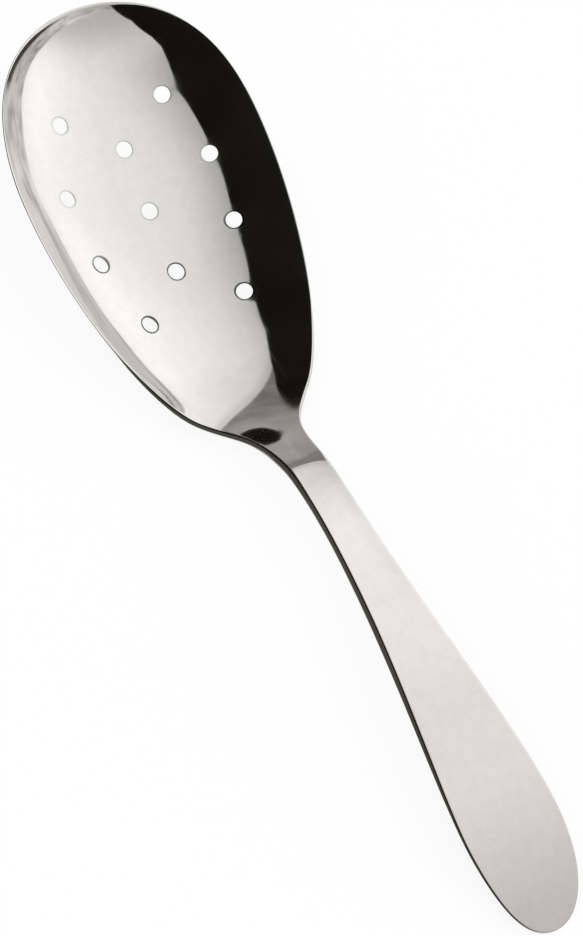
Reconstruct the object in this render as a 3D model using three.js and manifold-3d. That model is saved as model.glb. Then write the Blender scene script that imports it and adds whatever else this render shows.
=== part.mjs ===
// Pierced serving spoon, pressed and forged from one piece of stainless steel and mirror polished.
// Millimetres. The spoon is drawn with its bowl level: +X runs from the bowl's tip to the end of
// the handle, +Y to one side and +Z up, with the tip over X = 0.
// The finished solid is then tipped and placed as it lies on a table, on the underside of the bowl
// and the end of the handle, with the origin under the middle of its length.

import * as THREE from 'three';
import { mergeVertices } from 'three/addons/utils/BufferGeometryUtils.js';
import Module from 'manifold-3d';

const wasm = await Module();
wasm.setup();

// Driving dimensions of the plan outline
const bowlLength = 110.5;       // tip to the shoulder, where the outline turns into the neck
const bowlWidth = 68.5;
const bowlWidestAt = 42.9;      // from the tip
const shoulderWidth = 31.8;     // across the outline at the shoulder
const neckFromShoulder = 26.5;  // shoulder to the narrowest place of the handle
const neckWidth = 10.5;
const handleLength = 137.7;     // shoulder to the end of the handle
const paddleWidth = 24.8;
const paddleFromEnd = 26;       // end of the handle to its widest place

// How far each stretch of the outline runs straight on before it turns
const tipFullness = 16.5;
const bowlFrontReach = 32.4;
const bowlBackReach = 26.5;
const shoulderReach = 9.5;
const neckFrontReach = 19.2;
const neckBackReach = 32;
const paddleFrontReach = 18.6;
const paddleBackReach = 10.1;
const endFullness = 9.7;

// Side view of the edge, as [place, height]: the bowl's rim from the tip, the crank from the
// shoulder, the handle from its narrowest place, and its last stretch from the end
const rimFromTip = [[0, 11.6], [21, 12.2], [42, 12.05], [77, 14.15]];
const edgeFromShoulder = [[-6.5, 17.57], [1.5, 18.87], [10.8, 27.47], [19.5, 35.4]];
const edgeFromNeck = [[0, 39.4], [13, 44.8], [38, 53.75], [63, 60.8]];
const paddleHeight = 65.55;     // where the handle is widest
const edgeFromEnd = [[-12.2, 67.25], [0, 66.7]];

// Side view of the middle line, as [place, height]: of the bowl's floor from the tip, and of the
// ramp that carries the hollow up into the neck from the shoulder
const floorFromTip = [
  [4, 8.66], [9, 5.93], [15, 3.7], [22, 2.1], [30, 1.28], [42, 1.01], [55, 1.25], [70, 2.48],
];
const rampFromShoulder = [
  [-30.5, 4.23], [-20.5, 6.85], [-14.5, 8.69], [-9.5, 10.5], [-5.5, 12.4], [-1.5, 15.04],
  [2.5, 18.49], [6.5, 22.5], [10.5, 27.06], [14.5, 31.44], [18.5, 35.03],
];
const troughIntoNeck = 18.5;    // how far the hollow runs on past the shoulder
const troughFade = 7;           // how far before that it starts to die away

// Across the bowl: height grows from the floor by this power of the width, as [place, power]
const wallPowerFromTip = [[0, 2.41], [20, 2.25], [45, 2.49]];
const wallPowerFromShoulder = [[-40.5, 2.06], [-20.5, 2.01], [-6.5, 1.87], [5.5, 1.95]];

// Thickness of the metal, as [place, thickness], and how the bowl's sheet thins towards its rim
const metalFromTip = [[0, 1.2], [78, 1.25], [92, 1.3]];
const metalFromShoulder = [[-6, 1.5], [2, 1.75], [11, 2.3], [17, 2.8]];
const metalFromNeck = [[5, 2.85], [13, 2.85], [38, 3.15], [55, 2.6], [63, 2.3]];
const paddleThickness = 1.25;
const endThickness = 0.9;
const rimThinning = 0.5;        // share of the thickness lost at the rim
const rimThinningPower = 6;     // the loss grows by this power of the width
const thinTipLength = 12;       // round the tip the whole sheet thins over this length
const thinHeelFrom = 34;        // from the shoulder: where the rim starts to thicken again
const thinHeelTo = 4;
const edgeRound = 0.25;         // broken edge all round

// Drain holes: two side rows of four that follow the rim, and a middle row of three between them
const holeDiameter = 4.6;
const sideRowTipMargin = 25.6;
const sideRowHeelMargin = 29.2;
const sideHoleRimMargins = [17.6, 13.9, 13.7, 15.5];
const middleRowTipMargin = 35.8;
const middleRowHeelMargin = 40.3;
const middleHoleCount = 3;
const punchLength = 36;

// Depth of the flats that carry the spoon on the table
const restLand = 0.25;

// How finely the form is divided, and the step over which a slope is read
const stepsPerCurve = 15;
const columns = 20;
const holeSides = 24;
const tiltSteps = 40;
const slopeStep = 0.5;
const steepestWall = 1;         // walls steeper than this count as this steep
const joinWithin = 1e-4;        // points closer than this are one point
const steepestTilt = Math.PI / 4;

const steel = new THREE.MeshStandardMaterial({ color: 0xc9c8c4, roughness: 0.08, metalness: 1 });

// Main stations along the spoon
const neckAt = bowlLength + neckFromShoulder;
const endAt = bowlLength + handleLength;
const paddleAt = endAt - paddleFromEnd;
const troughEnd = bowlLength + troughIntoNeck;

// Half of the plan outline, from the tip to the middle of the handle's end
function planOutline() {
  const outline = new THREE.Path();
  const bowlHalf = bowlWidth / 2;
  const shoulderHalf = shoulderWidth / 2;
  const neckHalf = neckWidth / 2;
  const paddleHalf = paddleWidth / 2;
  outline.moveTo(0, 0);
  outline.bezierCurveTo(
    0, tipFullness,
    bowlWidestAt - bowlFrontReach, bowlHalf,
    bowlWidestAt, bowlHalf,
  );
  outline.bezierCurveTo(
    bowlWidestAt + bowlBackReach, bowlHalf,
    bowlLength - shoulderReach, shoulderHalf + shoulderReach,
    bowlLength, shoulderHalf,
  );
  outline.bezierCurveTo(
    bowlLength + shoulderReach, shoulderHalf - shoulderReach,
    neckAt - neckFrontReach, neckHalf,
    neckAt, neckHalf,
  );
  outline.bezierCurveTo(
    neckAt + neckBackReach, neckHalf,
    paddleAt - paddleFrontReach, paddleHalf,
    paddleAt, paddleHalf,
  );
  outline.bezierCurveTo(
    paddleAt + paddleBackReach, paddleHalf,
    endAt, endFullness,
    endAt, 0,
  );
  return outline.getPoints(stepsPerCurve);
}

// A smooth curve through [x, value] stations: a cubic in each gap, whose slope at a station
// is the slope between its two neighbours. Outside the stations it stays level.
function curveThrough(stations) {
  const last = stations.length - 1;
  const slopeAt = (i) => {
    const before = stations[Math.max(i - 1, 0)];
    const after = stations[Math.min(i + 1, last)];
    return (after[1] - before[1]) / (after[0] - before[0]);
  };
  return (x) => {
    if (x <= stations[0][0]) return stations[0][1];
    if (x >= stations[last][0]) return stations[last][1];
    const i = stations.findIndex((station) => station[0] > x) - 1;
    const gap = stations[i + 1][0] - stations[i][0];
    const t = (x - stations[i][0]) / gap;
    const rise = stations[i + 1][1] - stations[i][1];
    const startSlope = slopeAt(i) * gap - rise;
    const endSlope = rise - slopeAt(i + 1) * gap;
    return stations[i][1] + t * rise + t * (1 - t) * ((1 - t) * startSlope + t * endSlope);
  };
}

// Stations whose places are measured from a point along the spoon
const stationsFrom = (origin, stations) => stations.map(([place, value]) => [origin + place, value]);

// Height of the rim and of the handle's edges, seen from the side
const edgeHeight = curveThrough([
  ...rimFromTip,
  ...stationsFrom(bowlLength, edgeFromShoulder),
  ...stationsFrom(neckAt, edgeFromNeck),
  [paddleAt, paddleHeight],
  ...stationsFrom(endAt, edgeFromEnd),
]);

// Height of the middle line of the bowl's floor and of the ramp into the neck
const floorHeight = curveThrough([
  rimFromTip[0],
  ...floorFromTip,
  ...stationsFrom(bowlLength, rampFromShoulder),
]);

const wallPower = curveThrough([
  ...wallPowerFromTip,
  ...stationsFrom(bowlLength, wallPowerFromShoulder),
]);

const sheetThickness = curveThrough([
  ...metalFromTip,
  ...stationsFrom(bowlLength, metalFromShoulder),
  ...stationsFrom(neckAt, metalFromNeck),
  [paddleAt, paddleThickness],
  [endAt, endThickness],
]);

// Thickness of the metal square to its surface, thinned towards the bowl's rim and tip
function thickness(x, across) {
  const nearTip = Math.max(0, 1 - x / thinTipLength) ** 2;
  const nearRim = Math.max(Math.abs(across) ** rimThinningPower, nearTip);
  const toHeel = (bowlLength - thinHeelTo - x) / (thinHeelFrom - thinHeelTo);
  return sheetThickness(x) * (1 - rimThinning * nearRim * THREE.MathUtils.clamp(toHeel, 0, 1));
}

// Depth of the hollow under the rim along the middle, dying away in the neck
function hollowDepth(x) {
  const fade = 1 - THREE.MathUtils.smoothstep(x, troughEnd - troughFade, troughEnd);
  return (edgeHeight(x) - floorHeight(x)) * fade;
}

// Upper surface: across the spoon it climbs from the middle of the hollow to the edge's height
function upperHeight(x, across) {
  return edgeHeight(x) - hollowDepth(x) * (1 - Math.abs(across) ** wallPower(x));
}

const outline = planOutline();

// Half width of the plan outline at x
function halfWidth(x) {
  const i = Math.max(1, outline.findIndex((point) => point.x >= x));
  const t = (x - outline[i - 1].x) / (outline[i].x - outline[i - 1].x);
  return THREE.MathUtils.lerp(outline[i - 1].y, outline[i].y, t);
}

function upperPoint(x, y) {
  return new THREE.Vector3(x, y, upperHeight(x, y / halfWidth(x)));
}

// Direction square to the upper surface, from the surface's steps along X and Y
function upperNormal(x, y) {
  const along = upperPoint(x + slopeStep, y).sub(upperPoint(x - slopeStep, y));
  const across = upperPoint(x, y + slopeStep).sub(upperPoint(x, y - slopeStep));
  return along.cross(across).normalize();
}

// The outline drawn in by a distance, square to itself
function insetOutline(distance) {
  return outline.map((point, i) => {
    const before = outline[Math.max(i - 1, 0)];
    const after = outline[Math.min(i + 1, outline.length - 1)];
    const tangent = after.clone().sub(before);
    if (i === 0) tangent.set(0, 1);
    if (i === outline.length - 1) tangent.set(0, -1);
    tangent.normalize();
    return new THREE.Vector2(point.x + tangent.y * distance, Math.max(0, point.y - tangent.x * distance));
  });
}

// Metal measured plumb at a station, from its thickness and the steepness of the upper surface
function plumbMetal(x, across, width) {
  const rise = upperHeight(x + slopeStep, across) - upperHeight(x - slopeStep, across);
  const slopeX = rise / (2 * slopeStep);
  const power = wallPower(x);
  const reach = Math.max(width, edgeRound);
  const slopeY = hollowDepth(x) * power * Math.abs(across) ** (power - 1) / reach;
  return thickness(x, across) * Math.hypot(1, slopeX, Math.min(slopeY, steepestWall));
}

// One closed section at each station: over the top, round one edge, under the bottom and round
// the other edge. At the tip and at the end of the handle it closes to a short upright line.
function sections() {
  const inner = insetOutline(edgeRound);
  return outline.map((point, i) => {
    const { x, y } = inner[i];
    const isEnd = i === 0 || i === outline.length - 1;
    const acrossAt = (j) => (isEnd ? 1 : 2 * j / columns - 1);
    const loop = [];
    const edgeTop = upperHeight(x, 1);
    const edgeMetal = plumbMetal(x, 1, y);
    for (let j = 0; j <= columns; j += 1) {
      const across = acrossAt(j);
      loop.push(new THREE.Vector3(x, y * across, upperHeight(x, across)));
    }
    loop.push(new THREE.Vector3(point.x, point.y, edgeTop - edgeRound));
    loop.push(new THREE.Vector3(point.x, point.y, edgeTop - edgeMetal + edgeRound));
    for (let j = columns; j >= 0; j -= 1) {
      const across = acrossAt(j);
      const bottom = upperHeight(x, across) - plumbMetal(x, across, y);
      loop.push(new THREE.Vector3(x, y * across, bottom));
    }
    loop.push(new THREE.Vector3(point.x, -point.y, edgeTop - edgeMetal + edgeRound));
    loop.push(new THREE.Vector3(point.x, -point.y, edgeTop - edgeRound));
    return loop;
  });
}

// A closed skin over a row of closed sections with as many points each
function skin(loops) {
  const count = loops[0].length;
  const positions = loops.flat().flatMap((point) => point.toArray());
  const indices = [];
  const addFace = (a, b, c) => {
    const [pa, pb, pc] = [a, b, c].map(([i, j]) => loops[i][j % count]);
    const flat = pa.equals(pb) || pb.equals(pc) || pc.equals(pa);
    if (!flat) indices.push(...[a, b, c].map(([i, j]) => i * count + (j % count)));
  };
  for (let i = 0; i < loops.length - 1; i += 1) {
    for (let j = 0; j < count; j += 1) {
      addFace([i, j], [i + 1, j], [i + 1, j + 1]);
      addFace([i, j], [i + 1, j + 1], [i, j + 1]);
    }
  }
  const geometry = new THREE.BufferGeometry();
  geometry.setAttribute('position', new THREE.Float32BufferAttribute(positions, 3));
  geometry.setIndex(indices);
  return geometry;
}

function toSolid(geometry) {
  const bare = geometry.clone();
  bare.deleteAttribute('normal');
  bare.deleteAttribute('uv');
  const merged = mergeVertices(bare, joinWithin);
  return new wasm.Manifold(new wasm.Mesh({
    numProp: 3,
    vertProperties: Float32Array.from(merged.attributes.position.array),
    triVerts: Uint32Array.from(merged.index.array),
  }));
}

function toGeometry(solid) {
  const mesh = solid.getMesh();
  const geometry = new THREE.BufferGeometry();
  geometry.setAttribute('position', new THREE.BufferAttribute(mesh.vertProperties, 3));
  geometry.setIndex(new THREE.BufferAttribute(mesh.triVerts, 1));
  geometry.computeVertexNormals();
  return geometry;
}

// Places of the drain holes in plan
function holeCentres() {
  const centres = [];
  const lastSide = sideHoleRimMargins.length - 1;
  sideHoleRimMargins.forEach((margin, i) => {
    const x = THREE.MathUtils.lerp(sideRowTipMargin, bowlLength - sideRowHeelMargin, i / lastSide);
    const y = halfWidth(x) - margin;
    centres.push([x, y], [x, -y]);
  });
  const lastMiddle = middleHoleCount - 1;
  for (let i = 0; i <= lastMiddle; i += 1) {
    const x = THREE.MathUtils.lerp(middleRowTipMargin, bowlLength - middleRowHeelMargin, i / lastMiddle);
    centres.push([x, 0]);
  }
  return centres;
}

// A punch for one drain hole, square to the bowl's surface there
function holePunch([x, y]) {
  const punch = new THREE.CylinderGeometry(holeDiameter / 2, holeDiameter / 2, punchLength, holeSides);
  const turn = new THREE.Quaternion().setFromUnitVectors(new THREE.Vector3(0, 1, 0), upperNormal(x, y));
  const place = upperPoint(x, y);
  punch.applyQuaternion(turn);
  punch.translate(place.x, place.y, place.z);
  return toSolid(punch);
}

// The tilt at which the bowl's underside and the handle's end are equally low
function restingTilt(points) {
  const lowest = (angle, isPart) => points.filter(isPart)
    .reduce((low, p) => Math.min(low, p.z * Math.cos(angle) - p.x * Math.sin(angle)), Infinity);
  const onBowl = (p) => p.x < bowlLength;
  const onHandle = (p) => p.x > neckAt;
  let low = 0;
  let high = steepestTilt;
  for (let i = 0; i < tiltSteps; i += 1) {
    const middle = (low + high) / 2;
    if (lowest(middle, onHandle) > lowest(middle, onBowl)) low = middle;
    else high = middle;
  }
  return (low + high) / 2;
}

const loops = sections();
const tilt = restingTilt(loops.flat());

// Stand the tipped spoon on Z = 0, sunk by the depth of its rest flats, and centre its length
const tipped = new THREE.Matrix4().makeRotationY(tilt);
const tippedBox = new THREE.Box3().setFromPoints(loops.flat().map((p) => p.clone().applyMatrix4(tipped)));
const shiftX = -(tippedBox.min.x + tippedBox.max.x) / 2;
const shiftZ = -tippedBox.min.z - restLand;
const standing = new THREE.Matrix4().makeTranslation(shiftX, 0, shiftZ).multiply(tipped);

// What the table would cut away, drawn in the level spoon's own frame
const tableHeight = 20;
const table = new THREE.BoxGeometry(2 * endAt, 2 * bowlWidth, tableHeight);
table.translate(0, 0, -tableHeight / 2);
table.applyMatrix4(standing.clone().invert());

let body = toSolid(skin(loops)).subtract(toSolid(table));
for (const centre of holeCentres()) {
  body = body.subtract(holePunch(centre));
}

const spoon = new THREE.Mesh(toGeometry(body), steel);
spoon.name = 'pierced_spoon';
spoon.rotation.y = tilt;
spoon.position.set(shiftX, 0, shiftZ);

const model = new THREE.Group();
model.name = 'pierced_serving_spoon';
model.add(spoon);

export default model;
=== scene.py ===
"""A pierced serving spoon of mirror-polished stainless steel in a white tent, with a black card beside it.

The spoon is drawn with its bowl level, x from the tip of the bowl to the end of the handle and z up,
and is then tipped as it lies on a table. Lengths are in metres.
"""

import bpy
import numpy as np
from bpy.props import FloatProperty, FloatVectorProperty, PointerProperty
from mathutils import Matrix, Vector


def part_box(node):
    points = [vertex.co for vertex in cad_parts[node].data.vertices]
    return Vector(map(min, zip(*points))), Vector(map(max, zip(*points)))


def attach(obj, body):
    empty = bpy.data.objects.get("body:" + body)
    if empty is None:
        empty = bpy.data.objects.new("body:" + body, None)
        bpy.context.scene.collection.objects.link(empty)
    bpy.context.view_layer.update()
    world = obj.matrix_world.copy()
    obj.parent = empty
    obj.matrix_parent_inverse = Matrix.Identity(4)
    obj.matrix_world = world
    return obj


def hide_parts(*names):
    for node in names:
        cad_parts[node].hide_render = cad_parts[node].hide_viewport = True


bl_info = {
    "name": "Pierced serving spoon",
    "version": (1, 0, 0),
    "blender": (4, 5, 0),
    "location": "3D View > Sidebar > Spoon",
    "description": "Makes a polished pierced serving spoon and the studio it lies in",
    "category": "Add Mesh",
}

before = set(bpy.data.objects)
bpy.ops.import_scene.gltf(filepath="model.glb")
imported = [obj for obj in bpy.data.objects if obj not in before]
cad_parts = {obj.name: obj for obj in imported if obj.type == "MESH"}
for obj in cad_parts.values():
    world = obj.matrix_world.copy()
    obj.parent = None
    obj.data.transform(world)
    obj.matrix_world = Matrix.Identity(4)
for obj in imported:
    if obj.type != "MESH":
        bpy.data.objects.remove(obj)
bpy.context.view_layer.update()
NODE = "pierced_spoon"
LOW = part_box(NODE)[0]
FLOOR_HEIGHT = LOW[2] - 0.0002

# How finely the form is divided
FINE_STEP = 2e-5          # metres between the points that a smooth curve is read from
OUTLINE_STEPS = 2000      # along each curve of the outline
EDGE_BLUR = 401           # outline points that the inset of the edge is averaged over
GRID_ROWS = 300           # along the spoon
GRID_COLUMNS = 112        # across the spoon
HOLE_CELLS = 12           # grid cells along each side of the patch round a hole
HOLE_RINGS = 9            # rings of points between that patch's edge and the hole
LIP_STEPS = 4             # points round the lip of a hole
WALL_STEPS = 3            # points down the wall of a hole
RIM_STEPS = 14            # points round the edge of the metal

# Height of the bowl's tip in the level drawing
TIP_HEIGHT = 0.0116
# Where the tipped drawing goes, so that it rests on the table under the middle of its length
REST_SHIFT = (-0.1297167, 0, 0.027834)
# Power of the superellipse that rounds the edge of the metal
EDGE_POWER = 2.6
# Square of the share of the half width over which the hollow's middle is rounded off
MIDDLE_ROUNDING = 0.02
# A faint dip past the trough's end and a roll of its sides before it: depth, place from that end and reach
DIP_DEPTH, DIP_FROM_END, DIP_REACH = 0.0003, 0.0025, 0.004
ROLL_DEPTH, ROLL_FROM_END, ROLL_REACH = 0.0002, -0.0055, 0.006
# How far the dimple round a hole reaches
DIMPLE_REACH = 0.0008

# The camera where the perspective puts it: its place, and its axes to the right, up and back
CAMERA_PLACE = (0.18118, -0.19044, 0.43531)
CAMERA_AXES = (0.47546, 0.86127, 0.17933), (-0.80234, 0.34093, 0.48991), (0.36081, -0.37682, 0.85313)
CAMERA_LENS = 79.308


def length(name, description, default):
    """A length in metres for a property group."""
    return FloatProperty(name=name, description=description, default=default, unit="LENGTH", precision=5)


class SpoonSizes(bpy.types.PropertyGroup):
    bowl_length: length("Bowl length", "Tip of the bowl to the shoulder", 0.1105)
    bowl_width: length("Bowl width", "Across the bowl at its widest", 0.0685)
    bowl_widest_at: length("Widest at", "Tip of the bowl to its widest place", 0.0429)
    shoulder_width: length("Shoulder width", "Across the outline where bowl turns into neck", 0.0318)
    neck_from_shoulder: length("Neck from shoulder", "Shoulder to the handle's narrowest place", 0.0265)
    neck_width: length("Neck width", "Across the narrowest place of the handle", 0.0105)
    handle_length: length("Handle length", "Shoulder to the end of the handle", 0.1377)
    paddle_width: length("Handle width", "Across the handle at its widest", 0.0248)
    paddle_from_end: length("Handle widest at", "End of the handle to its widest place", 0.026)
    trough: length("Trough", "How far the hollow runs on past the shoulder", 0.0185)
    rim_thinning: FloatProperty(name="Rim thinning", default=0.5, min=0, max=0.8,
                                description="Share of the bowl's thickness lost towards its rim")
    hole_diameter: length("Hole diameter", "Diameter of a drain hole at its narrowest", 0.0043)
    hole_lip: length("Hole lip", "Radius of the rounded lip of a drain hole", 0.00012)
    hole_flare: length("Hole flare", "How much wider a drain hole is at the back, on each side", 0.0006)
    hole_dimple: length("Hole dimple", "How far the punch drew the metal down beside a hole", 0.00002)
    rest_tilt: FloatProperty(name="Tilt at rest", default=0.3691208698, subtype="ANGLE",
                             description="How far the spoon is tipped as it lies on the table")


class SpoonFinish(bpy.types.PropertyGroup):
    steel: FloatVectorProperty(name="Steel", description="Colour of the polished steel",
                               default=(0.865, 0.852, 0.828), subtype="COLOR", min=0, max=1)
    roughness: FloatProperty(name="Roughness", description="Roughness of the polish",
                             default=0.045, min=0, max=1)


class StudioSettings(bpy.types.PropertyGroup):
    background: FloatVectorProperty(name="Background", description="Colour behind the spoon",
                                    default=(1, 1, 1), subtype="COLOR", min=0, max=1)
    shadow: FloatProperty(name="Floor shadow", default=0.15, min=0, max=1,
                          description="How much of the spoon's shadow the floor keeps")
    floor_size: length("Floor size", "Side of the floor", 6.0)


def ease(t):
    """Smooth step: t kept between 0 and 1, then t^2 (3 - 2t)."""
    t = np.clip(t, 0, 1)
    return t * t * (3 - 2 * t)


def bell(distance, reach):
    """One at no distance, dying away as exp(-(distance / reach)^2)."""
    return np.exp(-(distance / reach) ** 2)


def bezier(corners, t):
    """Cubic curve: each of the four corners times its weight (1-t)^3, 3(1-t)^2 t, 3(1-t)t^2 or t^3."""
    weights = np.stack([(1 - t) ** 3, 3 * (1 - t) ** 2 * t, 3 * (1 - t) * t ** 2, t ** 3], -1)
    return weights @ np.array(corners)


def plan_outline(size):
    """Half of the outline seen from above, tip to handle end, as rows of x, y and the outward normal.

    Five cubic curves joined at knots, with a corner before and after each knot on the line of its heading,
    so that they flow into each other. The normal is the direction of travel turned a quarter outwards.
    """
    bowl, shoulder = size.bowl_width / 2, size.shoulder_width / 2
    neck, paddle = size.neck_width / 2, size.paddle_width / 2
    heel = size.bowl_length
    end = heel + size.handle_length
    knots = [
        # place and half width, heading, reach of the corner before it and of the corner after it
        ((0, 0), (0, 1), 0, 0.0165),
        ((size.bowl_widest_at, bowl), (1, 0), 0.0324, 0.0265),
        ((heel, shoulder), (1, -1), 0.0095, 0.0095),
        ((heel + size.neck_from_shoulder, neck), (1, 0), 0.0192, 0.032),
        ((end - size.paddle_from_end, paddle), (1, 0), 0.0186, 0.0101),
        ((end, 0), (0, -1), 0.0097, 0),
    ]
    place, heading, before, after = (np.array(column, float) for column in zip(*knots))
    corners = np.stack([place[:-1], (place + heading * after[:, None])[:-1],
                        (place - heading * before[:, None])[1:], place[1:]], 1)
    t = np.linspace(0, 1, OUTLINE_STEPS + 1)
    points = np.vstack([bezier(curve, t)[:-1] for curve in corners[:-1]] + [bezier(corners[-1], t)])
    travel = np.gradient(points, axis=0)
    travel[0] = (0, 1)
    travel[-1] = (0, -1)
    travel /= np.linalg.norm(travel, axis=1, keepdims=True)
    return np.column_stack([points, -travel[:, 1], travel[:, 0]])


def smooth_curve(stations, blur):
    """A curve through (x, value) stations: cubics whose slope at a station is that between its neighbours,
    then averaged under a bell of the given width, so that the bend nowhere jumps."""
    at, value = np.array(stations).T
    slope = np.gradient(value, at)
    slope[1:-1] = (value[2:] - value[:-2]) / (at[2:] - at[:-2])
    reach = 4 * blur
    x = np.arange(at[0] - reach, at[-1] + reach, FINE_STEP)
    i = np.clip(np.searchsorted(at, x, side="right") - 1, 0, len(at) - 2)
    gap, rise = at[i + 1] - at[i], value[i + 1] - value[i]
    t = np.clip((x - at[i]) / gap, 0, 1)
    a, b = slope[i] * gap - rise, rise - slope[i + 1] * gap
    y = value[i] + t * rise + t * (1 - t) * ((1 - t) * a + t * b)
    y += np.minimum(x - at[0], 0) * slope[0] + np.maximum(x - at[-1], 0) * slope[-1]
    weight = np.exp(-0.5 * (np.arange(-3 * blur, 3 * blur, FINE_STEP) / blur) ** 2)
    y = np.convolve(y, weight / weight.sum(), mode="same")
    return lambda q: np.interp(q, x, y)


def climbing_line(start, stations, blur):
    """Height along a line that starts at a height: the running sum of the tangent of its steepness, which
    follows (x, degrees) stations."""
    steepness = smooth_curve([(x, np.tan(np.radians(degrees))) for x, degrees in stations], blur)
    x = np.arange(0, stations[-1][0], FINE_STEP)
    slope = steepness(x)
    z = start + np.concatenate([[0], np.cumsum((slope[1:] + slope[:-1]) / 2 * FINE_STEP)])
    return lambda q: np.interp(q, x, z)


class SpoonForm:
    """The spoon's surfaces as functions of plan position, before it is tipped to rest on the table."""

    def __init__(self, size):
        self.size = size
        self.outline = plan_outline(size)
        heel = size.bowl_length
        neck = heel + size.neck_from_shoulder
        end = heel + size.handle_length
        paddle = end - size.paddle_from_end
        self.trough_end = heel + size.trough
        self.middle_height = climbing_line(TIP_HEIGHT, [
            (0, -39.35), (0.004, -32.93), (0.009, -24.13), (0.015, -16.63), (0.022, -9.3), (0.03, -2.77),
            (0.042, -0.29), (0.055, 2.55), (heel - 0.0405, 7.23), (heel - 0.0305, 12.69),
            (heel - 0.0205, 16.48), (heel - 0.0155, 17.44), (heel - 0.0105, 21.12), (heel - 0.0065, 26.06),
            (heel - 0.0035, 31.57), (heel - 0.0005, 36.88), (heel + 0.0025, 42.33), (heel + 0.0055, 45.73),
            (heel + 0.0085, 48.08), (heel + 0.0115, 48.52), (heel + 0.0145, 43.57), (heel + 0.0175, 41.01),
            (heel + 0.0205, 36.86), (heel + 0.0235, 29.04), (heel + 0.0295, 24.03),
        ], 0.001)
        self.wall_power = smooth_curve([
            (0, 2.41), (0.02, 2.25), (0.045, 2.49), (heel - 0.0405, 2.06), (heel - 0.0205, 2.01),
            (heel - 0.0065, 2.36), (heel + 0.0055, 1.38),
        ], 0.004)
        self.edge_height = smooth_curve([
            (0, TIP_HEIGHT), (0.021, 0.0122), (0.042, 0.01205), (0.077, 0.01415), (heel - 0.0065, 0.01746),
            (heel + 0.0015, 0.01885), (heel + 0.0061, 0.02223), (heel + 0.0108, 0.02712),
            (heel + 0.0189, 0.03552), (neck, 0.03942), (neck + 0.013, 0.0448), (neck + 0.038, 0.05375),
            (neck + 0.063, 0.0608), (paddle, 0.06555), (end - 0.0122, 0.06725), (end, 0.0667),
        ], 0.0015)
        self.thickness = smooth_curve([
            (0, 0.0012), (0.078, 0.00125), (0.092, 0.0013), (heel - 0.0065, 0.0015),
            (heel + 0.002, 0.00168), (heel + 0.0075, 0.0018), (heel + 0.0125, 0.0023),
            (heel + 0.017, 0.0028), (neck + 0.005, 0.00285), (neck + 0.013, 0.00285),
            (neck + 0.038, 0.00315), (neck + 0.055, 0.0026), (neck + 0.063, 0.0023),
            (paddle, 0.00125), (end, 0.0009),
        ], 0.0015)
        self.holes = self.hole_centres()

    def half_width(self, x):
        """Half of the plan width at x, read from the outline."""
        return np.interp(x, self.outline[:, 0], self.outline[:, 1])

    def share(self, x, y):
        """How far out a place lies: none on the middle line, one on the outline."""
        return np.abs(y) / np.maximum(self.half_width(x), 1e-6)

    def hole_centres(self):
        """Plan places of the holes: two side rows of four that follow the rim and a middle row of three."""
        x = np.linspace(0.0256, self.size.bowl_length - 0.0292, 4)
        from_rim = np.array([0.0176, 0.0139, 0.0137, 0.0155])
        y = self.half_width(x) - from_rim
        middle = np.linspace(0.0358, self.size.bowl_length - 0.0403, 3)
        return np.vstack([np.column_stack([x, y]), np.column_stack([x, -y]),
                          np.column_stack([middle, np.zeros(3)])])

    def from_holes(self, x, y):
        """Plan distance outwards from the wall of each hole, less than zero inside it."""
        from_centres = np.hypot(x[..., None] - self.holes[:, 0], y[..., None] - self.holes[:, 1])
        return from_centres - self.size.hole_diameter / 2

    def hollow(self, x):
        """Depth of the middle line under the rim, fading out over the last 7 mm of the trough."""
        return (self.edge_height(x) - self.middle_height(x)) * ease((self.trough_end - x) / 0.007)

    def height(self, x, y):
        """Height of the upper surface.

        Edge height less the hollow, which fades across as one less a power of the share of the half width,
        rounded off in the middle. Less a faint dip past the trough's end, a bell along and a parabola
        across. Less a roll of the sides round the trough's end, a bell along and the square of how far the
        share is past 0.8. Less a dimple that fades as a bell with the distance from each hole's wall.
        """
        share = self.share(x, y)
        half_power = self.wall_power(x) / 2
        least = MIDDLE_ROUNDING ** half_power
        most = (1 + MIDDLE_ROUNDING) ** half_power
        rise = ((share ** 2 + MIDDLE_ROUNDING) ** half_power - least) / (most - least)
        past_end = x - self.trough_end
        dip = DIP_DEPTH * bell(past_end - DIP_FROM_END, DIP_REACH) * (1 - share ** 2)
        roll = ROLL_DEPTH * bell(past_end - ROLL_FROM_END, ROLL_REACH)
        roll = roll * (np.clip(share - 0.8, 0, 0.2) / 0.2) ** 2
        dimples = bell(np.maximum(self.from_holes(x, y), 0), DIMPLE_REACH).sum(-1)
        return (self.edge_height(x) - self.hollow(x) * (1 - rise) - dip - roll
                - self.size.hole_dimple * dimples)

    def normal(self, x, y):
        """Upward normal of the upper surface, from the slopes over a twentieth of a millimetre."""
        d = 2.5e-5
        fall_x = (self.height(x - d, y) - self.height(x + d, y)) / (2 * d)
        fall_y = (self.height(x, y - d) - self.height(x, y + d)) / (2 * d)
        n = np.stack([fall_x, fall_y, np.ones_like(x)], -1)
        return n / np.linalg.norm(n, axis=-1, keepdims=True)

    def metal(self, x, y):
        """Thickness square to the surface. The bowl's sheet thins towards its rim with the 6th power of the
        share, and in the last 12 mm before its tip with the square of how near the tip is."""
        tip = np.clip(1 - x / 0.012, 0, 1) ** 2
        near_rim = np.maximum(np.clip(self.share(x, y), 0, 1) ** 6, tip)
        in_bowl = np.clip((self.size.bowl_length - 0.004 - x) / 0.03, 0, 1)
        return self.thickness(x) * (1 - self.size.rim_thinning * near_rim * in_bowl)

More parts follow.
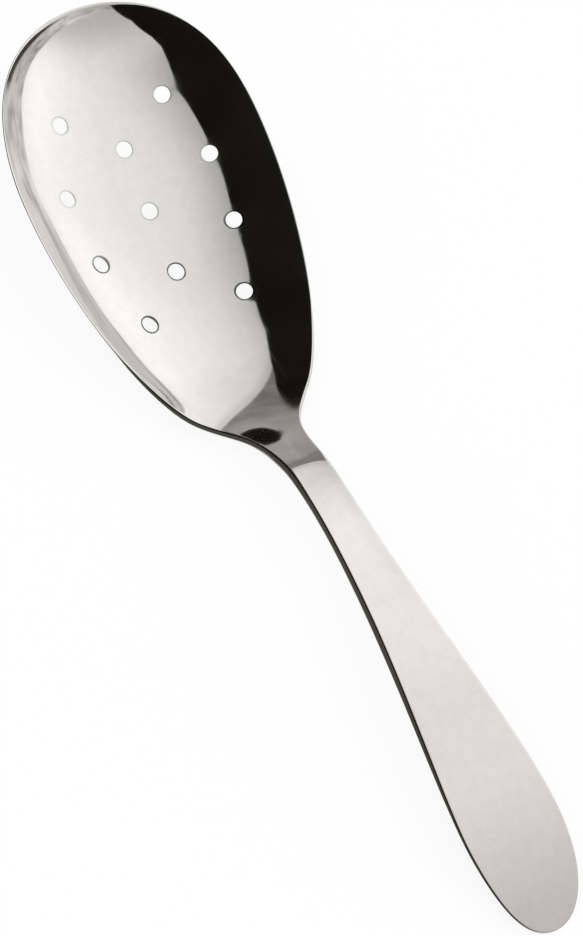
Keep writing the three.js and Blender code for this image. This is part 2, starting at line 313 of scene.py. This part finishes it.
    def through(self, x, y):
        """Direction of the thickness: the upper surface's normal, turned upright towards the bowl's rim,
        which is trimmed upright, by a smooth step of the share from 0.84 to 0.97 and over the last 4 mm
        before the tip. The turning fades out before the shoulder."""
        towards_rim = np.maximum((self.share(x, y) - 0.84) / 0.13, 1 - x / 0.004)
        in_bowl = (self.size.bowl_length - 0.012 - x) / 0.018
        upright = (ease(towards_rim) * ease(in_bowl))[..., None]
        d = self.normal(x, y) * (1 - upright) + np.array([0, 0, 1]) * upright
        return d / np.linalg.norm(d, axis=-1, keepdims=True)

    def upper(self, x, y):
        """Points of the upper surface."""
        return np.stack([x, y, self.height(x, y)], -1)

    def lower(self, x, y):
        """The upper surface moved down by the thickness of the metal."""
        return self.upper(x, y) - self.through(x, y) * self.metal(x, y)[..., None]

    def at_rest(self, points):
        """Tips the level drawing to rest on the table, under the middle of its length."""
        c, s = np.cos(self.size.rest_tilt), np.sin(self.size.rest_tilt)
        turned = points @ np.array([[c, 0, -s], [0, 1, 0], [s, 0, c]])
        placed = turned + np.array(REST_SHIFT)
        placed[..., 2] = np.maximum(placed[..., 2], 0)
        return placed


def edge_inset(form):
    """How far the surfaces stop short of the outline, and how far the edge bulges past them.

    The edge is half a superellipse of the power p = 2.6, as high as the metal is thick and leaning with
    the wall, so with a = thickness * sin(lean) / 2 and b = bulge * cos(lean) it reaches out by
    a + (a^k + b^k)^(1/k), where k = p / (p - 1). The bulge is a share of the thickness that grows from the
    bowl to the handle. Reach and lean hang on each other, so they are worked out four times over.
    """
    out = form.outline
    heel = form.size.bowl_length
    reach = np.full(len(out), 0.0008)
    kernel = np.hanning(EDGE_BLUR)
    k = EDGE_POWER / (EDGE_POWER - 1)
    for _ in range(4):
        inner = out[:, :2] - out[:, 2:] * reach[:, None]
        thick = form.metal(inner[:, 0], inner[:, 1])
        share = np.interp(inner[:, 0], [heel + 0.008, heel + 0.022], [0.22, 0.42])
        bulge = np.minimum(thick * share, 0.00075)
        lean = np.maximum(-(form.through(inner[:, 0], inner[:, 1])[:, :2] * out[:, 2:]).sum(1), 0)
        a, b = thick * lean / 2, bulge * np.sqrt(1 - lean ** 2)
        reach = np.convolve(np.pad(a + (a ** k + b ** k) ** (1 / k), EDGE_BLUR // 2, mode="edge"),
                            kernel / kernel.sum(), mode="valid")
    return reach + 5e-6, bulge


def plan_grid(form, inset):
    """Plan positions of a grid over all that lies inside the inset outline, rows along and columns across.

    A row runs across at y = q times the half width; its middle lags behind its ends by the tip's own arc
    near the tip, and leads them by the end's arc near the handle's end, so the first and the last row lie
    on the outline. Rows lie closer together from the tip to past the neck's start than on the handle.
    Returns x and y, and for the sides, the tip and the end where on the outline they lie, from 0 at the tip
    to 1 at the end.
    """
    out = form.outline
    ring = out[:, :2] - out[:, 2:] * inset[:, None]
    along = np.linspace(0, 1, len(ring))
    q = np.linspace(-1, 1, GRID_COLUMNS + 1)
    q = q + 0.08 * np.sin(np.pi * q)
    tip_x, end_x = ring[0, 0], ring[-1, 0]
    tip_arc, end_arc = 0.016, 0.0085
    tip_half = np.interp(tip_x + tip_arc, ring[:, 0], ring[:, 1])
    end_half = np.interp(end_x - end_arc, ring[:, 0], ring[:, 1])
    tip_at = np.interp(np.abs(q) * tip_half, ring[:OUTLINE_STEPS + 1, 1], along[:OUTLINE_STEPS + 1])
    tail = slice(None, len(ring) // 6)
    end_at = np.interp(np.abs(q) * end_half, ring[::-1][tail, 1], along[::-1][tail])
    bow_tip = (np.interp(tip_at, along, ring[:, 0]) - tip_x) / tip_arc
    bow_end = (end_x - np.interp(end_at, along, ring[:, 0])) / end_arc

    denser_up_to = form.size.bowl_length + 0.03
    span = end_x - tip_x
    dense = np.linspace(0, 1, 4001)
    weight = 1 + 0.9 / (1 + np.exp((dense * span - denser_up_to) / 0.004))
    cumulative = np.concatenate([[0], np.cumsum((weight[1:] + weight[:-1]) / 2)])
    row_share = np.linspace(0, 1, GRID_ROWS + 1)
    middle = tip_x + span * np.interp(row_share * cumulative[-1], cumulative, dense)
    lag = tip_arc * ease(1 - (middle - tip_x) / 0.06)
    lead = end_arc * ease(1 - (end_x - middle) / 0.035)
    side_at = np.interp(middle + lag - lead, ring[:, 0], along)
    side_y = np.interp(side_at, along, ring[:, 1])
    x = middle[:, None] + lag[:, None] * bow_tip - lead[:, None] * bow_end
    y = side_y[:, None] * q
    return x, y, side_at, tip_at, end_at


def border_of(rows, columns):
    """Row and column numbers round a grid's border, starting at the tip's low-y corner."""
    r, c = np.arange(rows), np.arange(columns)
    row = np.concatenate([r[:-1], np.full(columns - 1, rows - 1), r[:0:-1], np.zeros(columns - 1, int)])
    col = np.concatenate([np.zeros(rows - 1, int), c[:-1], np.full(rows - 1, columns - 1), c[:0:-1]])
    return row, col


def strips(lines):
    """Quads between neighbouring rows of point numbers, each row closed on itself."""
    a, b = lines[:-1], lines[1:]
    return np.stack([a, np.roll(a, -1, 1), np.roll(b, -1, 1), b], -1).reshape(-1, 4)


def hole_rings(form, centre, border):
    """Rings of points from the border of a patch round a hole in over its lip, down its wall and out again
    underneath.

    On each surface the plan goes from the border to the hole's circle by shares t^0.55, so the rings lie
    closer near the hole. The hole runs square to the surface, and is wider by the flare at the back. Its
    lips are quarter circles, and its wall is straight between them.
    """
    here = centre[:1], centre[1:]
    axis = form.normal(*here)[0]
    first = np.cross([0, 1, 0], axis)
    first /= np.linalg.norm(first)
    second = np.cross(axis, first)
    angle = np.arctan2(border[:, 1] - centre[1], border[:, 0] - centre[0])
    spoke = np.cos(angle)[:, None] * first + np.sin(angle)[:, None] * second
    radius, lip = form.size.hole_diameter / 2, form.size.hole_lip
    t = np.linspace(0, 1, HOLE_RINGS + 1)[1:, None, None] ** 0.55
    front, back = (border * (1 - t) + (centre + spoke[:, :2] * (radius + wider)) * t
                   for wider in (lip, lip + form.size.hole_flare))
    turn = np.linspace(0, np.pi / 2, LIP_STEPS + 1)[1:, None, None]
    inward, over = spoke * lip * np.sin(turn), axis * lip * (1 - np.cos(turn))
    top = form.upper(front[..., 0], front[..., 1])
    bottom = form.lower(back[..., 0], back[..., 1])
    top = np.concatenate([top, top[-1] - inward - over])
    bottom = np.concatenate([bottom, bottom[-1] - inward + over])
    t = np.linspace(0, 1, WALL_STEPS + 2)[1:-1, None, None]
    wall = top[-1] * (1 - t) + bottom[-1] * t
    return np.concatenate([top, wall, bottom[::-1]])


def rim_rings(form, at, side, bulge, top, bottom):
    """Rings of points over the edge of the metal: half a superellipse at each place of the border, as high
    as the way from top to bottom, and bulging along the outline's normal turned square to that way."""
    along = np.linspace(0, 1, len(form.outline))
    out = np.stack([np.interp(at, along, form.outline[:, k]) for k in (2, 3)] + [np.zeros(len(at))], -1)
    out[:, 1] *= side
    out /= np.linalg.norm(out, axis=1, keepdims=True)
    through = bottom - top
    outward = out - through * (out * through).sum(1, keepdims=True) / (through ** 2).sum(1, keepdims=True)
    outward /= np.linalg.norm(outward, axis=1, keepdims=True)
    swell = np.interp(at, along, bulge)[:, None]
    turn = np.linspace(0, np.pi, RIM_STEPS + 2)[1:-1, None, None]
    power = 2 / EDGE_POWER
    down = np.sign(np.cos(turn)) * np.abs(np.cos(turn)) ** power
    return (top + bottom) / 2 - through / 2 * down + outward * swell * np.sin(turn) ** power


def spoon_mesh(form):
    """Points and quads of the whole spoon.

    The upper and the lower surface share one plan grid. Round each hole a square patch of cells gives way
    to rings that turn from the square into the hole's circle, and the hole's lips and wall join the two
    surfaces. The edge of the metal is a half superellipse carried round the grid's border.
    """
    inset, bulge = edge_inset(form)
    x, y, side_at, tip_at, end_at = plan_grid(form, inset)
    rows, columns = x.shape
    upper, lower = form.upper(x, y), form.lower(x, y)
    points = [upper.reshape(-1, 3), lower.reshape(-1, 3)]
    number = np.arange(x.size).reshape(x.shape)
    lower_number = number + x.size
    quads = []

    def join(row, col, rings):
        """Adds rings that lead from the upper surface's border to the lower's, and gives their quads."""
        first = sum(len(block) for block in points)
        points.append(rings.reshape(-1, 3))
        numbers = first + np.arange(len(points[-1])).reshape(rings.shape[:2])
        return strips(np.vstack([number[row, col], numbers, lower_number[row, col]]))

    keep = np.ones((rows - 1, columns - 1), bool)
    half = HOLE_CELLS // 2
    for centre in form.holes:
        nearest = np.argmin((x - centre[0]) ** 2 + (y - centre[1]) ** 2)
        i, j = (index - half for index in np.unravel_index(nearest, x.shape))
        keep[i:i + HOLE_CELLS, j:j + HOLE_CELLS] = False
        row, col = border_of(HOLE_CELLS + 1, HOLE_CELLS + 1)
        row, col = row + i, col + j
        quads.append(join(row, col, hole_rings(form, centre, np.stack([x[row, col], y[row, col]], -1))))
    for sheet, flip in ((number, False), (lower_number, True)):
        a, b, c, d = (s[keep] for s in (sheet[:-1, :-1], sheet[1:, :-1], sheet[1:, 1:], sheet[:-1, 1:]))
        quads.append(np.stack([a, d, c, b] if flip else [a, b, c, d], -1))

    row, col = border_of(rows, columns)
    at = np.where(row == 0, tip_at[col], np.where(row == rows - 1, end_at[col], side_at[row]))
    side = np.where(col < columns / 2, -1, 1)
    rim = rim_rings(form, at, side, bulge, upper[row, col], lower[row, col])
    quads.append(join(row, col, rim)[:, ::-1])
    return without_spare(np.vstack(points), np.vstack(quads))


def without_spare(points, faces):
    """Leaves out the points that no face uses, and numbers the rest anew."""
    used = np.unique(faces)
    renumber = np.zeros(len(points), int)
    renumber[used] = np.arange(len(used))
    return points[used], renumber[faces]


def painted_hole_shade(form, points):
    """Where the steel gets painted shade, standing in for the shaded floor that the walls of the holes
    reflect: one on the walls of the holes and 0.3 mm round them, gone at 0.4 mm. Fainter near the bowl's
    tip, by a smooth step from
    66 to 50 mm of x."""
    x, y = points[:, 0], points[:, 1]
    away = form.from_holes(x, y).min(-1)
    return np.clip((0.0004 - away) / 0.0001, 0, 1) * (0.2 + 0.8 * ease((x - 0.05) / 0.016))


def closeness_to_edges(form, points):
    """One at the rim and at the hole walls, dying away over a millimetre: exp(-distance / 1.2 mm)."""
    x, y = points[:, 0], points[:, 1]
    to_side = form.half_width(x) - np.abs(y)
    to_end = np.minimum(x - form.outline[0, 0], form.outline[-1, 0] - x)
    to_hole = np.abs(form.from_holes(x, y)).min(-1)
    return np.exp(-np.maximum(np.minimum(np.minimum(to_side, to_end), to_hole), 0) / 0.0012)


def make_object(name, points, faces, material):
    """An object at the origin whose place is in its mesh, with smooth faces and one material."""
    mesh = bpy.data.meshes.new(name)
    mesh.from_pydata(points, [], faces)
    mesh.shade_smooth()
    mesh.materials.append(material)
    made = bpy.data.objects.new(name, mesh)
    bpy.context.scene.collection.objects.link(made)
    return made


class Nodes:
    """Short calls for a node tree: add() makes a node and fills its sockets with values or links."""

    def __init__(self, owner):
        owner.use_nodes = True
        self.tree = owner.node_tree
        self.tree.nodes.clear()
        self.count = 0

    def add(self, kind, inputs=None, **settings):
        made = self.tree.nodes.new(kind)
        made.location = (220 * (self.count // 4), -260 * (self.count % 4))
        self.count += 1
        for key, value in settings.items():
            setattr(made, key, value)
        for key, value in (inputs or {}).items():
            if isinstance(value, bpy.types.NodeSocket):
                self.tree.links.new(value, made.inputs[key])
            else:
                made.inputs[key].default_value = value
        return made

    def axes(self, vector):
        """The x, y and z of a vector."""
        return self.add("ShaderNodeSeparateXYZ", {"Vector": vector}).outputs

    def math(self, operation, first, second=0.0):
        """The result of one arithmetic step."""
        return self.add("ShaderNodeMath", {0: first, 1: second}, operation=operation).outputs[0]

    def sum(self, *terms):
        """The sum of factor times value over the terms; a value of one adds its factor alone."""
        total = 0.0
        for factor, value in terms:
            if isinstance(value, bpy.types.NodeSocket):
                made = self.add("ShaderNodeMath", {0: value, 1: factor, 2: total}, operation="MULTIPLY_ADD")
                total = made.outputs[0]
            else:
                total = self.math("ADD", total, factor * value)
        return total

    def step(self, value, start, stop):
        """Zero up to start, one past stop and smooth between, either way along the value."""
        return self.add("ShaderNodeMapRange", {"Value": value, "From Min": start, "From Max": stop},
                        interpolation_type="SMOOTHSTEP").outputs["Result"]

    def ramp(self, factor, stops, interpolation="LINEAR"):
        """A value or colour that changes along the factor, from (position, value) stops."""
        made = self.add("ShaderNodeValToRGB", {"Fac": factor})
        made.color_ramp.interpolation = interpolation
        elements = made.color_ramp.elements
        while len(elements) < len(stops):
            elements.new(0.5)
        for element, (position, value) in zip(elements, stops):
            element.position = position
            element.color = (*value, 1) if isinstance(value, tuple) else (value, value, value, 1)
        return made.outputs["Color"]

    def blend(self, factor, first, second):
        """The first colour where the factor is zero, the second where it is one."""
        made = self.add("ShaderNodeMix", {0: factor}, data_type="RGBA")
        for socket, value in ((made.inputs[6], first), (made.inputs[7], second)):
            if isinstance(value, bpy.types.NodeSocket):
                self.tree.links.new(value, socket)
            else:
                socket.default_value = (*value, 1)
        return made.outputs[2]

    def scaled(self, colour, factor):
        """A colour times a number."""
        return self.add("ShaderNodeVectorMath", {0: colour, "Scale": factor}, operation="SCALE").outputs[0]

    def tinted(self, colour, tint):
        """Two colours multiplied, channel by channel."""
        return self.add("ShaderNodeVectorMath", {0: colour, 1: tint}, operation="MULTIPLY").outputs[0]

    def noise(self, place, scale, detail, roughness=0.5):
        """Noise with so many blots to a unit of the place, and so many finer layers."""
        return self.add("ShaderNodeTexNoise", {"Vector": place, "Scale": scale, "Detail": detail,
                                               "Roughness": roughness}).outputs["Fac"]

    def streaks(self, place, scales, detail, turn=(0, 0, 0)):
        """Noise with so many blots to a unit along each axis, after a turn."""
        turned = self.add("ShaderNodeMapping", {"Vector": place, "Rotation": turn, "Scale": scales})
        return self.noise(turned.outputs[0], 1.0, detail)


# Painted light and shade along the handle at each x of the resting spoon: its reflections brighter above
# one and darker below one, darkest towards its end
PAINTED_HANDLE_LIGHT = [
    (0.0018, (1, 1, 1)), (0.0034, (0.98, 0.98, 0.98)), (0.0085, (0.95, 0.95, 0.95)),
    (0.0125, (1.06, 1.06, 1.06)), (0.0225, (1.14, 1.14, 1.13)), (0.04, (1.08, 1.055, 1.055)),
    (0.056, (1.08, 1.05, 1.05)), (0.073, (0.99, 0.973, 0.955)), (0.0897, (0.96, 0.943, 0.922)),
    (0.104, (0.843, 0.826, 0.806)), (0.116, (0.728, 0.702, 0.687)), (0.1235, (0.72, 0.679, 0.67)),
]


def polished_steel(finish):
    """Mirror-polished steel.

    Fine polish lines along the spoon, hairline scratches, smudges and worn edges make it rougher, and the
    lines and a slow waviness bend its reflections. Its colour follows painted light and shade along the
    handle, which stand in for brighter and darker reflections, with faint clouds, scratches, painted shade
    on one side of the neck and painted shade on the walls of the holes and round them, standing for the
    dark they reflect.
    """
    material = bpy.data.materials.new("Polished stainless steel")
    n = Nodes(material)
    place = n.add("ShaderNodeTexCoord").outputs["Object"]
    x, y, _ = n.axes(place)
    edge = n.add("ShaderNodeAttribute", attribute_name="edge").outputs["Fac"]
    # the punch attribute marks where painted shade darkens the hole walls and round them
    punch = n.add("ShaderNodeAttribute", attribute_name="punch").outputs["Fac"]
    polish = n.streaks(place, (60, 2600, 2600), 3.0)
    scratch = n.step(n.streaks(place, (45, 1500, 1500), 1.0, turn=(0, 0.15, 0.35)), 0.71, 0.76)
    smudge = n.step(n.noise(place, 55.0, 4.0, 0.6), 0.35, 0.75)
    rough = n.sum((0.035, smudge), (0.02, polish), (0.05, scratch), (0.06, edge),
                  (finish.roughness - 0.02, 1.0))
    waves = n.noise(place, 130.0, 1.0)
    relief = n.sum((0.00000025, polish), (0.000004, waves))
    bump = n.add("ShaderNodeBump", {"Strength": 1.0, "Distance": 1.0, "Height": relief}).outputs[0]

    # A ramp holds positions and values up to 1, so x is taken eight times and the painted light and shade
    # is halved
    halved = [(at * 8, tuple(channel / 2 for channel in painted_tone)) for at, painted_tone in PAINTED_HANDLE_LIGHT]
    # painted light and shade along the handle, standing in for its brighter and darker reflections
    painted_tone = n.ramp(n.math("MULTIPLY", x, 8.0), halved)
    cloud = n.step(n.noise(place, 380.0, 5.0, 0.65), 0.35, 0.7)
    # painted shade on the neck's side away from the card, dimming its reflections there
    at_neck = n.math("MULTIPLY", n.step(x, 0.004, 0.012), n.step(x, 0.06, 0.012))
    painted_neck_shade = n.math("MULTIPLY", n.step(y, 0.0005, 0.005), at_neck)
    brightness = n.sum((-0.045, cloud), (-0.06, scratch), (-0.11, painted_neck_shade), (1.02, 1.0))
    # painted shade on the hole walls and round them, standing for the dark they reflect
    brightness = n.math("MULTIPLY", brightness, n.sum((-0.86, punch), (1.0, 1.0)))
    colour = n.scaled(n.tinted(painted_tone, tuple(channel * 2 for channel in finish.steel)), brightness)
    shader = n.add("ShaderNodeBsdfPrincipled", {"Base Color": colour, "Metallic": 1.0,
                                                "Roughness": rough, "Normal": bump})
    n.add("ShaderNodeOutputMaterial", {"Surface": shader.outputs[0]})
    return material


class SPOON_OT_make_spoon(bpy.types.Operator):
    """Make the pierced spoon and its polished steel"""
    bl_idname = "spoon.make_spoon"
    bl_label = "Pierced spoon"

    def execute(self, context):
        form = SpoonForm(context.scene.spoon_sizes)
        points, faces = spoon_mesh(form)
        steel = polished_steel(context.scene.spoon_finish)
        made = make_object("polished_spoon", form.at_rest(points), faces, steel)
        # edge only roughens the steel; punch carries the painted shade of the holes
        for name, mark in (("edge", closeness_to_edges), ("punch", painted_hole_shade)):
            attribute = made.data.attributes.new(name, "FLOAT", "POINT")
            attribute.data.foreach_set("value", mark(form, points).astype(np.float32))
        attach(made, "root")
        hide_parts(NODE)
        return {"FINISHED"}


# What the metal sees goes by the direction it looks in: x runs from past the bowl's tip to past the
# handle's end, y from the card's side to the other side, and z from the floor to overhead. A ramp holds
# positions and values from 0 to 1, so what goes beyond is moved onto that and back.

# The y that the black card reaches up to, at each x
CARD_EDGE = [
    (-1, 0.355), (-0.88, 0.277), (-0.8, 0.202), (-0.7, 0.12), (-0.6, 0.037), (-0.45, -0.044),
    (-0.35, -0.105), (-0.28, -0.158), (-0.255, -0.212), (-0.17, -0.287), (-0.12, -0.313), (-0.05, -0.319),
    (0.03, -0.34), (0.1, -0.337), (0.19, -0.318), (0.33, -0.31), (0.4, -0.29), (0.47, -0.32),
    (0.55, -0.329), (0.65, -0.316), (0.74, -0.25), (0.82, -0.156), (0.9, -0.07), (1, 0.17),
]
# Brightness of the tent above its foot, at each z
TENT = [
    (0.227, 0.65), (0.3, 0.695), (0.38, 0.718), (0.46, 0.724), (0.6, 0.713), (0.75, 0.733), (0.87, 0.758),
    (0.95, 0.808), (1, 0.886),
]
# How that brightness wavers, at each x
AROUND = [(-0.5, 1), (-0.3, 1.055), (-0.04, 0.975), (0.18, 1.005), (0.5, 1.03), (0.8, 1.1)]
# Brightness of the tent's foot, at each x
FOOT = [
    (-0.45, 0.57), (-0.35, 0.54), (-0.25, 0.6), (-0.15, 0.75), (-0.07, 0.71), (0, 0.56), (0.08, 0.66),
    (0.2, 0.58), (0.32, 0.52), (0.5, 0.46), (0.64, 0.51), (0.74, 0.55), (0.82, 0.69), (0.88, 0.7),
    (0.94, 0.51), (1, 0.3),
]
# The card, and what lies far off past the handle
CARD_BLACK = (0.006, 0.0055, 0.0045)
FAR_DARK = (0.05, 0.047, 0.043)


def tent_foot(n, toward, half_x):
    """The creased foot of the tent, lighter close to the horizon past the bowl's tip, and darker beside."""
    x, _, z = n.axes(toward)
    foot = n.ramp(half_x, [((at + 1) / 2, value) for at, value in FOOT])
    creases = n.streaks(toward, (7, 7, 22), 3.0)
    foot = n.scaled(foot, n.sum((0.6, n.step(creases, 0.25, 0.6)), (0.5, 1.0)))
    lowest = n.sum((0.62, n.step(x, -0.345, -0.39)), (-0.19, n.step(x, -0.17, -0.24)))
    lowest = n.math("MULTIPLY", lowest, n.step(z, 0.135, 0.11))
    return n.scaled(foot, n.sum((1.0, lowest), (1.0, 1.0)))


def tent(n, toward, half_x):
    """The tent as the metal sees it.

    Its brightness rises with z and y and wavers along x. It is greyer past the handle's end and has a foot
    along the horizon, which reaches higher past the bowl's tip. Low past the handle it is dark. A slanting
    grey panel stands past the tip on the card's side, and the tent is dimmer next to it.
    """
    x, y, z = n.axes(toward)
    cloth = n.scaled(n.ramp(z, TENT), n.sum((0.771, y), (0.074, x), (0.797, 1.0)))
    wavering = n.ramp(half_x, [((at + 1) / 2, value / 2) for at, value in AROUND], "EASE")
    cloth = n.scaled(n.tinted(cloth, wavering), 2.0)
    past_handle = n.ramp(x, [(0.7, (0.681, 0.67, 0.66)), (1, (0.454, 0.445, 0.435))])
    cloth = n.blend(n.step(x, 0.5, 0.9), cloth, past_handle)
    above_foot = n.sum((1.0, z), (-0.05, n.step(x, -0.29, -0.39)))
    cloth = n.blend(n.step(above_foot, 0.216, 0.232), tent_foot(n, toward, half_x), cloth)
    low_past_handle = n.math("MULTIPLY", n.step(x, 0.12, 0.25), n.step(z, 0.085, 0.055))
    cloth = n.blend(low_past_handle, cloth, FAR_DARK)

    into_panel = n.sum((-1.0, x), (-1.109, y), (-0.578, z))
    cloth = n.scaled(cloth, n.sum((-0.2, n.step(into_panel, -0.17, 0.01)), (1.0, 1.0)))
    grey = n.ramp(z, [(0.2, (0.36, 0.35, 0.335)), (0.27, (0.29, 0.282, 0.27)), (0.36, (0.25, 0.243, 0.233)),
                      (0.55, (0.19, 0.185, 0.177))])
    uneven = n.step(n.streaks(toward, (6, 6, 12), 4.0), 0.3, 0.7)
    grey = n.scaled(grey, n.sum((0.3, uneven), (0.87, 1.0)))
    return n.blend(n.step(into_panel, 0.002, 0.05), cloth, grey)


def studio_world(studio):
    """Plain background and light, in which the metal sees a white tent and a black card at one side."""
    world = bpy.data.worlds.new("Studio")
    n = Nodes(world)
    toward = n.add("ShaderNodeTexCoord").outputs["Generated"]
    x, y, _ = n.axes(toward)
    half_x = n.sum((0.5, x), (0.5, 1.0))
    edge = n.ramp(half_x, [((at + 1) / 2, (reach + 1) / 2) for at, reach in CARD_EDGE])
    past_card = n.step(n.sum((1.0, y), (-2.0, edge), (1.0, 1.0)), -0.005, 0.005)
    seen = n.blend(past_card, CARD_BLACK, tent(n, toward, half_x))
    metal = n.add("ShaderNodeBackground", {"Color": seen, "Strength": 1.0}).outputs[0]
    plain = n.add("ShaderNodeBackground", {"Color": (*studio.background, 1), "Strength": 1.0}).outputs[0]
    glossy = n.add("ShaderNodeLightPath").outputs["Is Glossy Ray"]
    both = n.add("ShaderNodeMixShader", {0: glossy, 1: plain, 2: metal}).outputs[0]
    n.add("ShaderNodeOutputWorld", {"Surface": both})
    return world


def floor_material(studio):
    """White floor that keeps a faint shadow.

    The metal sees it glow with painted light on the side away from the card, and dark on the card's side, a
    painted shadow of the card and the spoon, and dark a long way past the handle. The border between the
    painted light and the painted shadow bulges towards the card beside the bowl, as a bell, and steps back
    at the bowl's tip.
    """
    material = bpy.data.materials.new("White floor")
    n = Nodes(material)
    x, y, _ = n.axes(n.add("ShaderNodeTexCoord").outputs["Object"])
    along = n.math("DIVIDE", n.math("ADD", x, 0.072), 0.036)
    swell = n.math("EXPONENT", n.math("MULTIPLY", n.math("MULTIPLY", along, along), -1.0))
    beside = n.sum((1.0, y), (0.06, swell), (0.007, 1.0), (-0.018, n.step(x, -0.12, -0.134)))
    # painted shadow of the card and the spoon on the card's side and painted light on the other, seen only
    # in the metal
    painted_floor_light_and_shadow = n.blend(n.step(beside, -0.004, 0.004), (0.06, 0.058, 0.054), (0.75, 0.74, 0.73))
    painted_floor_light_and_shadow = n.blend(n.step(x, 0.5, 0.6), painted_floor_light_and_shadow, FAR_DARK)
    rays = n.add("ShaderNodeLightPath")
    colour = n.blend(rays.outputs["Is Glossy Ray"], tuple(studio.background), painted_floor_light_and_shadow)
    bright = n.add("ShaderNodeEmission", {"Color": colour, "Strength": 1.0}).outputs[0]
    dull = n.add("ShaderNodeBsdfDiffuse", {"Color": (*studio.background, 1)}).outputs[0]
    seen = n.math("MAXIMUM", rays.outputs["Is Camera Ray"], rays.outputs["Is Transmission Ray"])
    share = n.math("SUBTRACT", 1.0, n.math("MULTIPLY", seen, studio.shadow))
    mixed = n.add("ShaderNodeMixShader", {0: share, 1: dull, 2: bright}).outputs[0]
    n.add("ShaderNodeOutputMaterial", {"Surface": mixed})
    return material


class SPOON_OT_make_stage(bpy.types.Operator):
    """Make the floor, the tent's light and the camera"""
    bl_idname = "spoon.make_stage"
    bl_label = "Stage"

    def execute(self, context):
        scene = context.scene
        studio = scene.spoon_studio
        half = studio.floor_size / 2
        corners = [(x * half, y * half, FLOOR_HEIGHT) for x, y in ((-1, -1), (1, -1), (1, 1), (-1, 1))]
        floor = make_object("floor", corners, [(0, 1, 2, 3)], floor_material(studio))
        scene.world = studio_world(studio)
        scene.view_settings.view_transform = "Standard"
        camera = bpy.data.objects.new("camera", bpy.data.cameras.new("camera"))
        camera.data.sensor_width = 36
        camera.data.lens = CAMERA_LENS
        camera.data.clip_start = 0.01
        turn = Matrix(CAMERA_AXES).transposed().to_4x4()
        camera.matrix_world = Matrix.Translation(CAMERA_PLACE) @ turn
        scene.collection.objects.link(camera)
        scene.camera = camera
        return {"FINISHED"}


class SPOON_PT_panel(bpy.types.Panel):
    """Lists the pieces and their sizes"""
    bl_idname = "SPOON_PT_panel"
    bl_label = "Pierced spoon"
    bl_space_type = "VIEW_3D"
    bl_region_type = "UI"
    bl_category = "Spoon"

    def draw(self, context):
        scene = context.scene
        for group in (scene.spoon_sizes, scene.spoon_finish, scene.spoon_studio):
            column = self.layout.column()
            for name in group.bl_rna.properties.keys():
                if name not in ("rna_type", "name"):
                    column.prop(group, name)
        for operator in (SPOON_OT_make_spoon, SPOON_OT_make_stage):
            self.layout.operator(operator.bl_idname)


CLASSES = (SpoonSizes, SpoonFinish, StudioSettings, SPOON_OT_make_spoon, SPOON_OT_make_stage,
           SPOON_PT_panel)


def register():
    for cls in CLASSES:
        bpy.utils.register_class(cls)
    bpy.types.Scene.spoon_sizes = PointerProperty(type=SpoonSizes)
    bpy.types.Scene.spoon_finish = PointerProperty(type=SpoonFinish)
    bpy.types.Scene.spoon_studio = PointerProperty(type=StudioSettings)


def unregister():
    del bpy.types.Scene.spoon_studio
    del bpy.types.Scene.spoon_finish
    del bpy.types.Scene.spoon_sizes
    for cls in reversed(CLASSES):
        bpy.utils.unregister_class(cls)


def main():
    """Makes the spoon and its stage."""
    register()
    bpy.ops.spoon.make_spoon()
    bpy.ops.spoon.make_stage()


if __name__ == "__main__":
    main()
